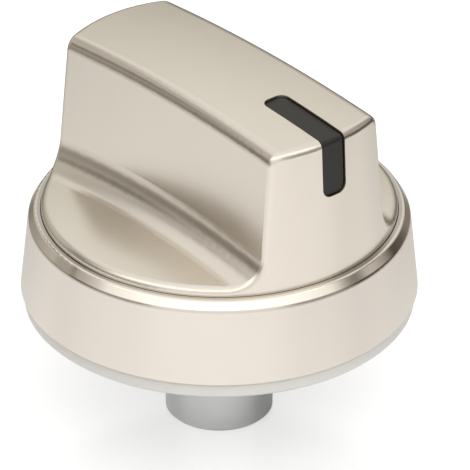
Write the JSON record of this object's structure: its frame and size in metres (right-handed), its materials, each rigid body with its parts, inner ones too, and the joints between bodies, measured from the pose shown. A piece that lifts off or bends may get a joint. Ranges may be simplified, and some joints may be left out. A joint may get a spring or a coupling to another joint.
{
  "type": "oven control knob",
  "caption": "Round control knob with a raised finger bar between two scoops, an inlaid black pointer, a tapered skirt and a stem with a flatted bore that pushes onto a switch or valve shaft.",
  "frame": {"origin": "centre of the stem's end face, on the shaft axis, where the knob stands", "axes": "+Z along the shaft axis from the stem towards the grip, -Y towards the pointer end of the finger bar, +X across the bar"},
  "size_m": [0.051, 0.051, 0.0499],
  "materials": {
    "satin_metal": "satin warm silver plating on a die casting",
    "skirt_metal": "satin warm silver plating with a polished chamfer",
    "black_plastic": "moulded, fine matt",
    "cast_metal": "die cast, bare grey",
    "pale_plastic": "translucent, moulded",
    "spring_steel": "bare strip",
    "screw_steel": "zinc plated"
  },
  "bodies": {
    "root": {"grip_cap": "satin_metal", "skirt_ring": "skirt_metal", "indicator_insert": "black_plastic", "stem_hub": "cast_metal", "base_ring": "pale_plastic", "shaft_clip": "spring_steel", "hub_screws": "screw_steel"}
  },
  "joints": []
}
